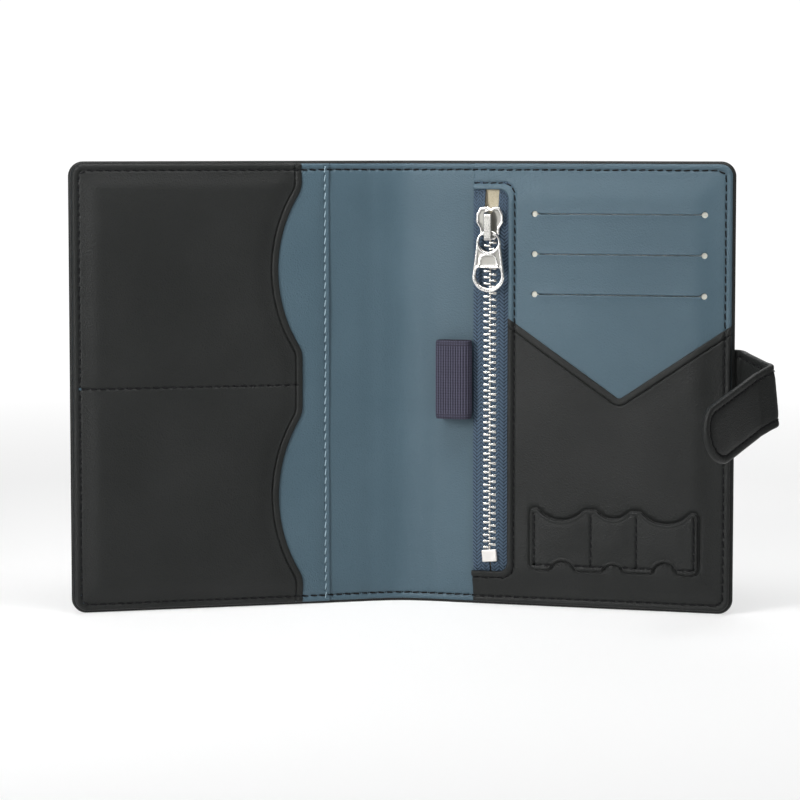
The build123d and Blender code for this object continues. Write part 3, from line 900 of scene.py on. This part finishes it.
def zip_tape(side, name, node):
    """Herringbone tape: columns of slanting yarns, each column leaning the other way."""
    inner = ZIP_U + side * 0.22
    outer = PANEL_EDGE + 0.15 if side < 0 else WINDOW_EDGE + 1.2
    u, z = np.meshgrid(np.linspace(inner, outer, 46), np.arange(WINDOW_LOW - 3, WINDOW_HIGH + 2.6, 0.15))
    column = np.abs(u - ZIP_U) / TAPE_COLUMN
    slant = np.where(np.floor(column) % 2 == 0, 1, -1)
    yarns = np.abs(np.sin(pi * (z + slant * (column % 1) * 1.5) / TAPE_YARN)) ** 0.7
    weave = yarns * (0.45 + 0.55 * np.abs(np.sin(pi * column)) ** 0.35)
    parting = np.clip((z - SLIDER_BASE - 0.5) / 8.5, 0, 1)
    u = u + np.clip(1 - np.abs(u - inner) / 6, 0, 1) * (side * 2.15 + 0.35) * parting
    height = tape_height(u, z) + 0.24 * weave
    if side < 0:
        height -= bullnose(np.abs(u - outer), 0.3)
    top = np.column_stack([u.ravel(), z.ravel(), height.ravel()])
    base = np.column_stack([u.ravel(), z.ravel(), tape_height(u, z).ravel() - 0.45])
    count = u.size
    index = np.arange(count).reshape(u.shape)
    quads = np.stack([index[:-1, :-1], index[:-1, 1:], index[1:, 1:], index[1:, :-1]], axis=-1).reshape(-1, 4)
    ring = np.concatenate([index[0, :], index[1:, -1], index[-1, -2::-1], index[-2::-1, 0]])
    walls = [(a, b, b + count, a + count) for a, b in zip(ring[:-1], ring[1:])]
    # The tape's underside gets a weave value of zero, which paints the darkest shade on it and fades its side
    # walls dark.
    piece = solid(name, placed(BACK)(np.concatenate([top, base])),
                  [*quads, *(quads[:, ::-1] + count), *walls], TAPE,
                  weave=np.concatenate([weave.ravel(), np.zeros(count)]))
    attached(piece, BACK, (node,))


def zip_lining():
    """Beige lining of the zip pocket, seen between the tapes above the slider."""
    loop = rectangle(PANEL_EDGE + 0.8, WINDOW_LOW - 2.5, WINDOW_EDGE + 4, WINDOW_HIGH + 2.5)
    layer("zip_pocket_cloth", [loop], lambda u, z, gap: 2.85 + 0.06 * ripple(u * 2, z * 2, 1), level(2.1),
          BACK, BEIGE, ("zip_pocket_lining",), (), 1.5)


def tooth_mesh():
    """One zip tooth lying along +X, from its foot on the tape to a head past the middle."""
    outline = [(-2.25, -0.4), (-1.2, -0.42), (-0.7, -0.3), (-0.35, -0.3), (0.05, -0.44), (0.4, -0.3)]
    outline += [(x, -y) for x, y in reversed(outline)]
    work = bmesh.new()
    low = [work.verts.new((x, y, 3.95)) for x, y in outline]
    work.faces.new(low)
    top = bmesh.ops.extrude_face_region(work, geom=list(work.faces))
    for item in top["geom"]:
        if isinstance(item, bmesh.types.BMVert):
            item.co.z = 5.4
    bmesh.ops.recalc_face_normals(work, faces=work.faces)
    bmesh.ops.bevel(work, geom=list(work.edges), offset=0.13, segments=2, profile=0.6, affect="EDGES")
    work.verts.ensure_lookup_table()
    points = np.array([tuple(v.co) for v in work.verts])
    faces = [[v.index for v in f.verts] for f in work.faces]
    work.free()
    return points, faces


def zip_teeth(side, name, node):
    """A row of teeth; the other row is half a pitch higher, so their heads meet between each other."""
    shape, faces = tooth_mesh()
    x, y, n = shape.T
    start = FIRST_TOOTH + (TOOTH_PITCH / 2 if side > 0 else 0)
    points, all_faces = [], []
    for k in range(TEETH):
        tilt = radians(2.5 * sin(7.3 * k + side))
        across, up = x * cos(tilt) - y * sin(tilt), x * sin(tilt) + y * cos(tilt)
        points.append(np.column_stack([ZIP_U - side * across, start + k * TOOTH_PITCH + up, n]))
        all_faces += [[i + len(shape) * k for i in face] for face in faces]
    attached(solid(name, placed(BACK)(np.concatenate(points)), all_faces, NICKEL), BACK, (node,))


def metal_plate(name, loops, low, high, body, replaced=(), material=PLATED, rim=0.22, extra=None):
    """A flat zip part with rounded edges and raised rims, and any extra height over its face."""
    extra = extra or level(0)

    def top(u, z, gap):
        raised = rim * np.sqrt(np.clip(1 - ((gap - 0.5) / 0.55) ** 2, 0, 1))
        return high + raised - bullnose(gap, 0.35) + extra(u, z)

    # Value for the rims' real polish, which also paints a highlight on the rims and the embossed arch.
    def shade(u, z, gap):
        return 1 - smooth(gap, 0.75, 1.05) + smooth(extra(u, z), 0.03, 0.1)

    guides = [(loop, (0.05, 0.13, 0.22, 0.32, 0.44, 0.58, 0.74, 0.9)) for loop in loops]
    piece = sheet_piece(name, loops, top, lambda u, z, gap: low + bullnose(gap, 0.3), placed(BACK), material,
                        guides, 0.45, 0.2, shade)
    attached(piece, BACK, replaced, body)


def zip_loop(corners, radii, steps, height=0.0, tilt=0.0):
    """A rounded outline about the zip's centre line, raised to a height and turned a little."""
    return rounded([(ZIP_U + u * cos(tilt) - z * sin(tilt), height + u * sin(tilt) + z * cos(tilt))
                    for u, z in corners], radii, steps)


def disc(z, radius, first, last, count):
    """Points round part of a circle on the zip's centre line."""
    angle = np.linspace(first, last, count)
    return np.column_stack([ZIP_U + radius * np.cos(angle), z + radius * np.sin(angle)])


def cut_disc(z, radius, flat):
    """Outline of a disc with its top cut level at a height."""
    turn = np.arcsin((flat - z) / radius)
    loop = disc(z, radius, turn, -pi - turn, 48)
    return eased(np.concatenate([loop, loop[:1]]), 0.3)


def pull_tab():
    """Teardrop pull with two D-shaped holes and an embossed arch between them."""
    top_radius, bottom_radius = 4.3, 5.7
    top, bottom = PULL_TOP - top_radius, PULL_BOTTOM + bottom_radius
    lean = np.arcsin((bottom_radius - top_radius) / (top - bottom))
    loop = np.concatenate([disc(top, top_radius, -lean, pi + lean, 50),
                           disc(bottom, bottom_radius, pi + lean, 2 * pi - lean, 60)])
    loop = np.concatenate([loop, loop[:1]])
    holes = [cut_disc(123.0, 3.25, 125.1), cut_disc(111.95, 4.35, 114.2)]
    ridge = zip_loop([(-3.3, 0), (3.3, 0), (2.5, 4.3), (-2.5, 4.3)], [0.2, 0.2, 1.6, 1.6], 10, 114.4)

    def emboss(u, z, gap=None):
        return 0.16 * bell(away(u, z, ridge), 0.26)

    metal_plate("pull_tab_metal", [loop, *holes], PIVOT_N - 0.5, PIVOT_N + 0.5, "pull_tab", ("pull_tab",),
                extra=emboss)


def slider():
    """Two plates and the tongue under the bridge; the upper plate has a polished rim."""
    half = [(3.4, 0), (3.4, 2.4), (4.7, 4.4), (4.7, 7.2), (3.5, 9.5), (1.5, 9.8)]
    plate = zip_loop([*half, (0, 8.9), *((-u, z) for u, z in reversed(half))], 0.6, 6, SLIDER_BASE)
    tongue = zip_loop([(-2, 0), (2, 0), (2, 2.3), (-2, 2.3)], 0.4, 5, SLIDER_BASE - 1.3)
    metal_plate("slider_upper_metal", [plate], 5.45, 6.1, "zip_slider", ("slider_body",), rim=0.2)
    metal_plate("slider_lower_metal", [plate], 3.3, 3.8, "zip_slider", rim=0.0)
    metal_plate("slider_tongue_metal", [tongue], 5.5, 6.0, "zip_slider", rim=0.0)


def stops():
    """Square clip at the foot of the chain, a little askew, and two small clips at the tapes' upper ends."""
    square = [(-2.65, -2.1), (2.65, -2.1), (2.65, 2.1), (-2.65, 2.1)]
    clip = zip_loop(square, 0.5, 6, (STOP_LOW + STOP_HIGH) / 2, radians(4.5))
    metal_plate("zip_bottom_stop_metal", [clip], 3.95, 5.6, "back_cover", ("zip_bottom_stop",), STOP, 0.0)
    for name, middle, replaced in (("zip_top_stop_left_metal", -1.8, ("zip_top_stops",)),
                                   ("zip_top_stop_right_metal", 1.8, ())):
        corners = [(middle - 0.6, 0), (middle + 0.6, 0), (middle + 0.6, 1.9), (middle - 0.6, 1.9)]
        metal_plate(name, [zip_loop(corners, 0.2, 4, 141.3)], 2.2, 2.75, "back_cover", replaced, STOP, 0.0)


# Inside, and the pen loop

def stiffeners():
    """Fibre boards and the foil shield, inside the leather."""
    fore = COVER - BOARD_INSET
    for name, side, start, end, layers, material, replaced, body in (
            ("front_board_panel", FRONT, BOARD_START, fore, BOARD_LAYER, BOARD, ("front_board",), None),
            ("back_board_panel", BACK, BOARD_START, fore, BOARD_LAYER, BOARD, ("back_board",), None),
            ("spine_board_left_panel", FRONT, -HALF_SPINE, SPINE_BOARD_END, BOARD_LAYER, BOARD,
             ("spine_board",), "spine"),
            ("spine_board_right_panel", BACK, -HALF_SPINE, SPINE_BOARD_END, BOARD_LAYER, BOARD, (), "spine"),
            ("shield_foil_sheet", BACK, 36, COVER - 3.5, FOIL_LAYER, FOIL, ("shield_foil",), None)):
        loop = rectangle(start, BOARD_INSET, end, HEIGHT - BOARD_INSET)
        layer(name, [loop], level(layers[1]), level(layers[0]), side, material, replaced, (), 4.0, body)


def flat_placed(points):
    """As placed(BACK), for a piece near the hinge that doesn't bend."""
    u, z, n = points.T
    y = HINGE_N - n
    x, y = HALF_SPINE + u * cos(TURN) + y * sin(TURN), y * cos(TURN) - u * sin(TURN)
    return np.stack([x, y, z], axis=1) * MM


def pen_loop():
    """Ribbed elastic band, standing open, with smooth selvedges at both ends."""
    low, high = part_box("pen_loop")[0][2] / MM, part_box("pen_loop")[1][2] / MM
    middle_u, middle_n, half_u, half_n = 10.8, 6.3, 5.5, 3.0
    angle = np.linspace(0, 2 * pi, 301)
    squareness = 0.55
    path_u = middle_u + half_u * np.sign(np.cos(angle)) * np.abs(np.cos(angle)) ** squareness
    path_n = middle_n + half_n * np.sign(np.sin(angle)) * np.abs(np.sin(angle)) ** squareness
    around = np.concatenate([[0.0], np.cumsum(np.hypot(np.diff(path_u), np.diff(path_n)))])
    along = np.linspace(0, around[-1], 340, endpoint=False)
    track = np.column_stack([np.interp(along, around, path_u), np.interp(along, around, path_n)])
    ahead = np.roll(track, -1, axis=0) - np.roll(track, 1, axis=0)
    outwards = np.column_stack([ahead[:, 1], -ahead[:, 0]]) / np.linalg.norm(ahead, axis=1, keepdims=True)
    z = np.arange(low, high + 0.01, 0.2)
    from_end = np.minimum(z - low, high - z)[:, None]
    selvedge = smooth(from_end, 1.5, 2.1)
    rib = np.abs(np.sin(pi * along / 0.84))[None, :] ** 0.8
    cross = np.abs(np.sin(pi * z / 0.9))[:, None]
    weave = selvedge * rib * (0.65 + 0.35 * cross) + (1 - selvedge) * (0.35 + 0.4 * cross * rib)
    curl = 0.25 * bell(from_end, 0.5)
    faces_out = (0.36 + 0.26 * weave - curl, -0.34 + 0.05 * weave + curl)
    rows = []
    for offset in faces_out:
        place = track[None] + outwards[None] * offset[..., None]
        rows.append(np.stack([place[..., 0], np.repeat(z[:, None], len(track), 1), place[..., 1]], axis=-1))
    count = weave.size
    index = np.arange(count).reshape(weave.shape)
    turn = np.roll(index, -1, axis=1)
    quads = np.stack([index[:-1], turn[:-1], turn[1:], index[1:]], axis=-1).reshape(-1, 4)
    caps = [(a, b, b + count, a + count) for row in (0, -1) for a, b in zip(index[row], turn[row])]
    # The inner face gets half the weave value, which paints shade inside the loop.
    piece = solid("pen_loop_elastic", flat_placed(np.concatenate(rows).reshape(-1, 3)),
                  [*quads, *(quads[:, ::-1] + count), *caps], ELASTIC,
                  weave=np.concatenate([weave.ravel(), 0.5 * weave.ravel()]))
    attached(piece, BACK, ("pen_loop",))


# Strap

STRAP_WIDTH, STRAP_HALF_THICK = 19.0, 1.05
STRAP_ROOT, STRAP_TIP = 22.5, 46.0
STRAP_SEAM, STRAP_STITCH, STRAP_THREAD = 2.3, 2.7, 0.24
HINGE_BEND, FOLD_BEND = 4.0, 3.2
FOLD_TURN = radians(70)
CREASE, CREASE_BEND = 8.5, 1.1
CREASE_TURN = radians(13)

# Out along the back cover and in from it, then the strap's hinge, its direction from there, and its fold
COVER_OUT = np.array([cos(TURN), -sin(TURN), 0])
COVER_IN = np.array([-sin(TURN), -cos(TURN), 0])
PIVOT, FOLD = (np.array(JOINTS[name]["pos_m"]) / MM for name in ("strap_hinge", "strap_fold"))
BASE = np.linalg.norm(FOLD - PIVOT)
ALONG = (FOLD - PIVOT) / BASE
INWARD = np.cross([0, 0, 1], ALONG) / np.linalg.norm(np.cross([0, 0, 1], ALONG))
INWARD *= -np.sign(INWARD[1])
UP = np.cross(INWARD, ALONG)
FOLD_AXIS = -np.array(JOINTS["strap_fold"]["axis"])
ACROSS = np.cross(FOLD_AXIS, INWARD)
ACROSS *= np.sign(ACROSS @ ALONG)


def turned_about(points, origin, axis, angles):
    """Each point turned about an axis by its own angle."""
    p = points - origin
    c, s = np.cos(angles)[:, None], np.sin(angles)[:, None]
    return origin + p * c + np.cross(axis, p) * s + axis * (p @ axis)[:, None] * (1 - c)


def strap_move(points):
    """Flat strap points (s along, t up, h towards the inner side) to the row frame in metres."""
    s, t, h = points.T[:, :, None]
    root = PIVOT + s * COVER_OUT + t * np.array([0, 0, 1.0]) + h * COVER_IN
    base = PIVOT + s * ALONG + t * UP + h * INWARD
    share = smooth(s, -HINGE_BEND, HINGE_BEND)
    mixed = root * (1 - share) + base * share
    past = (mixed - FOLD) @ ACROSS
    curl = CREASE_TURN * smooth(past, CREASE - CREASE_BEND, CREASE + CREASE_BEND)
    curled = turned_about(mixed, FOLD + CREASE * ACROSS, FOLD_AXIS, curl)
    return turned_about(curled, FOLD, FOLD_AXIS, -FOLD_TURN * smooth(past, -FOLD_BEND, FOLD_BEND)) * MM


def strap_ring(inset):
    """The strap's outline drawn in by an inset, from its root's upper corner round its nose and back."""
    half, start, end = STRAP_WIDTH / 2 - inset, inset - STRAP_ROOT, BASE + STRAP_TIP - inset
    arc = np.linspace(-pi / 2, pi / 2, 24)
    nose = np.column_stack([end - half + half * np.cos(arc), half * np.sin(arc)])
    return np.concatenate([[(start, half), (start, -half)], nose, [(start, half)]])


STRAP_LOOP, STRAP_LINE = strap_ring(0), strap_ring(STRAP_SEAM)


def strap_surface(sign):
    """The strap's inner face, or its outer one, crowned and raised a little over the magnet."""
    def surface(s, t, gap=None):
        free = away(s, t, STRAP_LOOP)
        magnet = np.hypot(s - (BASE + STRAP_TIP - STRAP_WIDTH / 2), t)
        high = STRAP_HALF_THICK + 0.15 * (1 - smooth(magnet, 4.5, 8)) + 0.12 * smooth(free, 2.5, 5)
        return sign * (high - bullnose(free, 0.8) + stitched(s, t, STRAP_LINE))
    return surface


def bent(piece, replaced=()):
    """Bakes a strap piece's placement into its points and hides the CAD nodes it stands for."""
    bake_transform(piece)
    labelled(replaced)


def strap():
    """One strip from its sewn root to its round end, cut in two between the joints."""
    middle, half = BASE / 2, STRAP_WIDTH / 2
    nose = STRAP_LOOP[STRAP_LOOP[:, 0] > middle]
    halves = (("strap_base", rectangle(-STRAP_ROOT, -half, middle, half),
               ("strap_root", "strap_base_outer", "strap_base_lining")),
              ("strap_tip", np.concatenate([[(middle, -half)], nose, [(middle, half), (middle, -half)]]),
               ("strap_tip_outer", "strap_tip_lining", "strap_magnet")))
    for name, outline, replaced in halves:
        guides = [(STRAP_LINE, (0, 0.25, 0.5)), (STRAP_LOOP, EDGE_ROWS)]
        piece = sheet_piece(name + "_leather", [outline], strap_surface(1), strap_surface(-1), strap_move,
                            BLACK, guides, 0.8)
        bent(piece, replaced)
    track = even(STRAP_LINE, 0.4)
    for sign, face in ((1, "inner"), (-1, "outer")):
        for name, kept in (("strap_base", track[:, 0] < middle), ("strap_tip", track[:, 0] >= middle)):
            runs = [run for run in runs_of(track, kept) if len(run) > 6]
            seam = thread(f"{name}_{face}_stitches", runs, strap_surface(sign), strap_move, BLACK_THREAD,
                          STRAP_THREAD, STRAP_STITCH, 0.1, 0.08 * sign)
            bent(seam)


def carried_over():
    """Finishes for the CAD nodes that stay."""
    for node, material in (("slider_bridge", NICKEL), ("closure_keeper", STEEL)):
        for place in frame["nodes"][node].material_slots:
            place.material = material


# Studio

def white_floor():
    """White floor that fades into the bright backdrop."""
    material, nodes, surface = begun("floor_white", (0.9, 0.9, 0.9), 0.75)
    place = nodes.add("TexCoord", out="Object")
    noise = nodes.add("TexNoise", Vector=place, Scale=30.0)
    nodes.add("Bump", surface["Normal"], Strength=0.02, Height=noise)
    far = nodes.add("VectorMath", out="Value", _operation="LENGTH", Vector=place)
    glow = nodes.add("MapRange", Value=far, From__Min=0.4, From__Max=0.9, To__Min=0.45, To__Max=1.0)
    near = nodes.tree.nodes["Principled BSDF"].outputs[0]
    output = nodes.tree.nodes["Material Output"].inputs[0]
    nodes.mixed(glow, near, nodes.add("Emission", Strength=1.05), output)
    make_object("floor", [(-3, -3, 0), (3, -3, 0), (3, 3, 0), (-3, 3, 0)], [(0, 1, 2, 3)], material)


def backdrop():
    """A plain white backdrop to the eye, and a dimmer room, darker below, to the things in it."""
    world = bpy.data.worlds.new("studio")
    nodes = Nodes(world)
    up = nodes.add("SeparateXYZ", out="Z", Vector=nodes.add("TexCoord", out="Generated"))
    room = nodes.add("Background", Color=nodes.ramp(up, (0.0, [0.05] * 3), (0.9, [0.27] * 3)))
    white = nodes.add("Background", Color=(1, 1, 1, 1), Strength=1.05)
    output = nodes.tree.nodes["World Output"].inputs[0]
    nodes.mixed(nodes.add("LightPath", out="Is Camera Ray"), room, white, output)
    bpy.context.scene.world = world


def lights():
    """Four soft lamps, all turned to the holder."""
    aim = Vector((-0.01, 0, 0.08))
    for name, place, size, power, spread in (("overhead", (0.0, -0.2, 0.6), (0.6, 0.22), 3.0, 180),
                                             ("left", (-0.4, -0.46, 0.28), (0.2, 0.35), 0.33, 50),
                                             ("right", (0.85, -0.75, 0.5), (0.3, 0.7), 0.5, 180),
                                             ("back", (0.0, 0.8, 0.7), (1.2, 0.5), 4.0, 180)):
        lamp = bpy.data.lights.new(name, "AREA")
        lamp.shape, lamp.energy, lamp.spread = "RECTANGLE", power, radians(spread)
        lamp.size, lamp.size_y = size
        light = bpy.data.objects.new(name, lamp)
        light.location = place
        light.rotation_euler = (aim - Vector(place)).to_track_quat("-Z", "Y").to_euler()
        bpy.context.scene.collection.objects.link(light)


def camera():
    """A long lens, a little above the holder's middle."""
    lens = bpy.data.cameras.new("camera")
    lens.lens, lens.sensor_width = 139.5, 36
    view = bpy.data.objects.new("camera", lens)
    view.location = (0.0128, -1.05, 0.1603)
    view.rotation_euler = (radians(90 - 4.98), 0, radians(0.75))
    bpy.context.scene.collection.objects.link(view)
    bpy.context.scene.camera = view
    bpy.context.scene.view_settings.view_transform = "Standard"


white_floor()
backdrop()
lights()
camera()
for cover, title, skins, linings in ((FRONT, "front", ("outer_skin_front",), ("lining_front",)),
                                     (BACK, "back", ("outer_skin_back", "outer_skin_spine"),
                                      ("lining_back", "lining_spine"))):
    shell(cover, title + "_shell_leather", skins)
    lining(cover, title + "_lining_leather", linings)
document_pocket()
card_pocket()
card_panel()
slot_backing()
v_pocket()
small_strip()
for cover, title, uppermost in ((FRONT, "front", front_surface), (BACK, "back", back_surface)):
    sewn(title + "_stitches", [side_line(-HALF_SPINE, STITCH_INSET)], uppermost, cover, hinge=True)
sewn("window_stitches", [window_line(WINDOW_SEAM)], back_surface, BACK, radius=0.25, pitch=WINDOW_STITCH)
zip_lining()
for way, title in ((-1, "left"), (1, "right")):
    zip_tape(way, f"zip_tape_{title}_cloth", "zip_tape_" + title)
    zip_teeth(way, f"zip_teeth_{title}_metal", "zip_teeth_" + title)
stiffeners()
slider()
pull_tab()
stops()
pen_loop()
strap()
carried_over()
